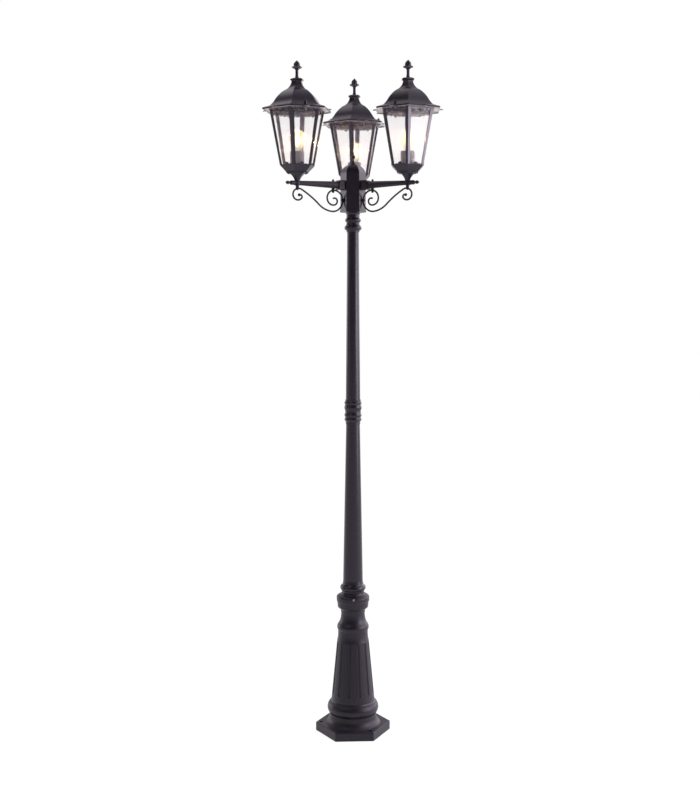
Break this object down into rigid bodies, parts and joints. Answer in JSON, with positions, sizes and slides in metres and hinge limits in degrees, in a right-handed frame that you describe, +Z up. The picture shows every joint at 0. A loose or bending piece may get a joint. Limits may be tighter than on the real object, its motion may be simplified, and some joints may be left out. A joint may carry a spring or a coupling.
{
  "type": "lamp post",
  "caption": "Garden lamp post: fluted column on a hexagonal foot, ringed tapered pole, and scrolled arms that carry six-sided glazed lanterns with ogee roofs and finials.",
  "frame": {"origin": "centre of the anchor-hole circle on the foot's underside, on the post's axis, at ground level", "axes": "+Z up the post, -Y the front, so the left lantern is on -X and the back lantern on +Y"},
  "size_m": [0.6021, 0.5668, 2.34],
  "materials": {
    "black_paint": "satin",
    "clear_pane": "gloss",
    "lamp_glass": "gloss",
    "lamp_cap_metal": "satin",
    "holder_plastic": "satin",
    "zinc_steel": "satin",
    "cable_rubber": "matte",
    "terminal_plastic": "matte"
  },
  "bodies": {
    "post": {"foot": "black_paint", "foot_screws": "zinc_steel", "cable_grommet": "cable_rubber", "fluted_column": "black_paint", "collar_set_screws": "zinc_steel", "lower_pole": "black_paint", "joint_coupler": "black_paint", "upper_pole": "black_paint", "neck_collar": "black_paint", "hub": "black_paint", "hub_cap": "black_paint", "hub_finial": "black_paint", "terminal_block": "terminal_plastic", "feed_cable": "cable_rubber", "arm_left": "black_paint", "arm_right": "black_paint", "arm_back": "black_paint", "scroll_left": "black_paint", "scroll_right": "black_paint", "scroll_back": "black_paint", "arm_end_finials": "black_paint", "arm_fixing_screws": "zinc_steel", "arm_knobs": "black_paint", "scroll_drops": "black_paint", "scroll_hub_studs": "black_paint", "stem_rods": "zinc_steel", "lamp_leads": "cable_rubber", "cup_left": "black_paint", "frame_ribs_left": "black_paint", "crown_ring_left": "black_paint", "panes_left": "clear_pane", "lampholder_left": "holder_plastic", "cup_right": "black_paint", "frame_ribs_right": "black_paint", "crown_ring_right": "black_paint", "panes_right": "clear_pane", "lampholder_right": "holder_plastic", "cup_back": "black_paint", "frame_ribs_back": "black_paint", "crown_ring_back": "black_paint", "panes_back": "clear_pane", "lampholder_back": "holder_plastic"},
    "roof_left": {"roof_left": "black_paint", "roof_finial_left": "black_paint"},
    "thumb_screw_a_left": {"thumb_screw_a_left": "black_paint"},
    "thumb_screw_b_left": {"thumb_screw_b_left": "black_paint"},
    "lamp_left": {"lamp_cap_left": "lamp_cap_metal", "lamp_bulb_left": "lamp_glass"},
    "roof_right": {"roof_right": "black_paint", "roof_finial_right": "black_paint"},
    "thumb_screw_a_right": {"thumb_screw_a_right": "black_paint"},
    "thumb_screw_b_right": {"thumb_screw_b_right": "black_paint"},
    "lamp_right": {"lamp_cap_right": "lamp_cap_metal", "lamp_bulb_right": "lamp_glass"},
    "roof_back": {"roof_back": "black_paint", "roof_finial_back": "black_paint"},
    "thumb_screw_a_back": {"thumb_screw_a_back": "black_paint"},
    "thumb_screw_b_back": {"thumb_screw_b_back": "black_paint"},
    "lamp_back": {"lamp_cap_back": "lamp_cap_metal", "lamp_bulb_back": "lamp_glass"}
  },
  "joints": [
    {"name": "roof_left_lift", "type": "slide", "parent": "post", "child": "roof_left", "axis": [0, 0, 1], "range_m": [0, 0.12]},
    {"name": "thumb_screw_a_left_turn", "type": "hinge", "parent": "roof_left", "child": "thumb_screw_a_left", "pos_m": [-0.15635, -0.1846, 2.18], "axis": [0, 0, 1], "range_deg": [0, 1800]},
    {"name": "thumb_screw_b_left_turn", "type": "hinge", "parent": "roof_left", "child": "thumb_screw_b_left", "pos_m": [-0.21943, -0.02029, 2.18], "axis": [0, 0, 1], "range_deg": [0, 1800]},
    {"name": "lamp_left_turn", "type": "hinge", "parent": "post", "child": "lamp_left", "pos_m": [-0.18789, -0.10244, 2.02], "axis": [0, 0, 1], "range_deg": [0, 1260]},
    {"name": "roof_right_lift", "type": "slide", "parent": "post", "child": "roof_right", "axis": [0, 0, 1], "range_m": [0, 0.12]},
    {"name": "thumb_screw_a_right_turn", "type": "hinge", "parent": "roof_right", "child": "thumb_screw_a_right", "pos_m": [0.22929, -0.03687, 2.18], "axis": [0, 0, 1], "range_deg": [0, 1800]},
    {"name": "thumb_screw_b_right_turn", "type": "hinge", "parent": "roof_right", "child": "thumb_screw_b_right", "pos_m": [0.13603, -0.18612, 2.18], "axis": [0, 0, 1], "range_deg": [0, 1800]},
    {"name": "lamp_right_turn", "type": "hinge", "parent": "post", "child": "lamp_right", "pos_m": [0.18266, -0.1115, 2.02], "axis": [0, 0, 1], "range_deg": [0, 1260]},
    {"name": "roof_back_lift", "type": "slide", "parent": "post", "child": "roof_back", "axis": [0, 0, 1], "range_m": [0, 0.12]},
    {"name": "thumb_screw_a_back_turn", "type": "hinge", "parent": "roof_back", "child": "thumb_screw_a_back", "pos_m": [-0.08202, 0.22542, 2.18], "axis": [0, 0, 1], "range_deg": [0, 1800]},
    {"name": "thumb_screw_b_back_turn", "type": "hinge", "parent": "roof_back", "child": "thumb_screw_b_back", "pos_m": [0.09248, 0.20245, 2.18], "axis": [0, 0, 1], "range_deg": [0, 1800]},
    {"name": "lamp_back_turn", "type": "hinge", "parent": "post", "child": "lamp_back", "pos_m": [0.00523, 0.21394, 2.02], "axis": [0, 0, 1], "range_deg": [0, 1260]}
  ]
}
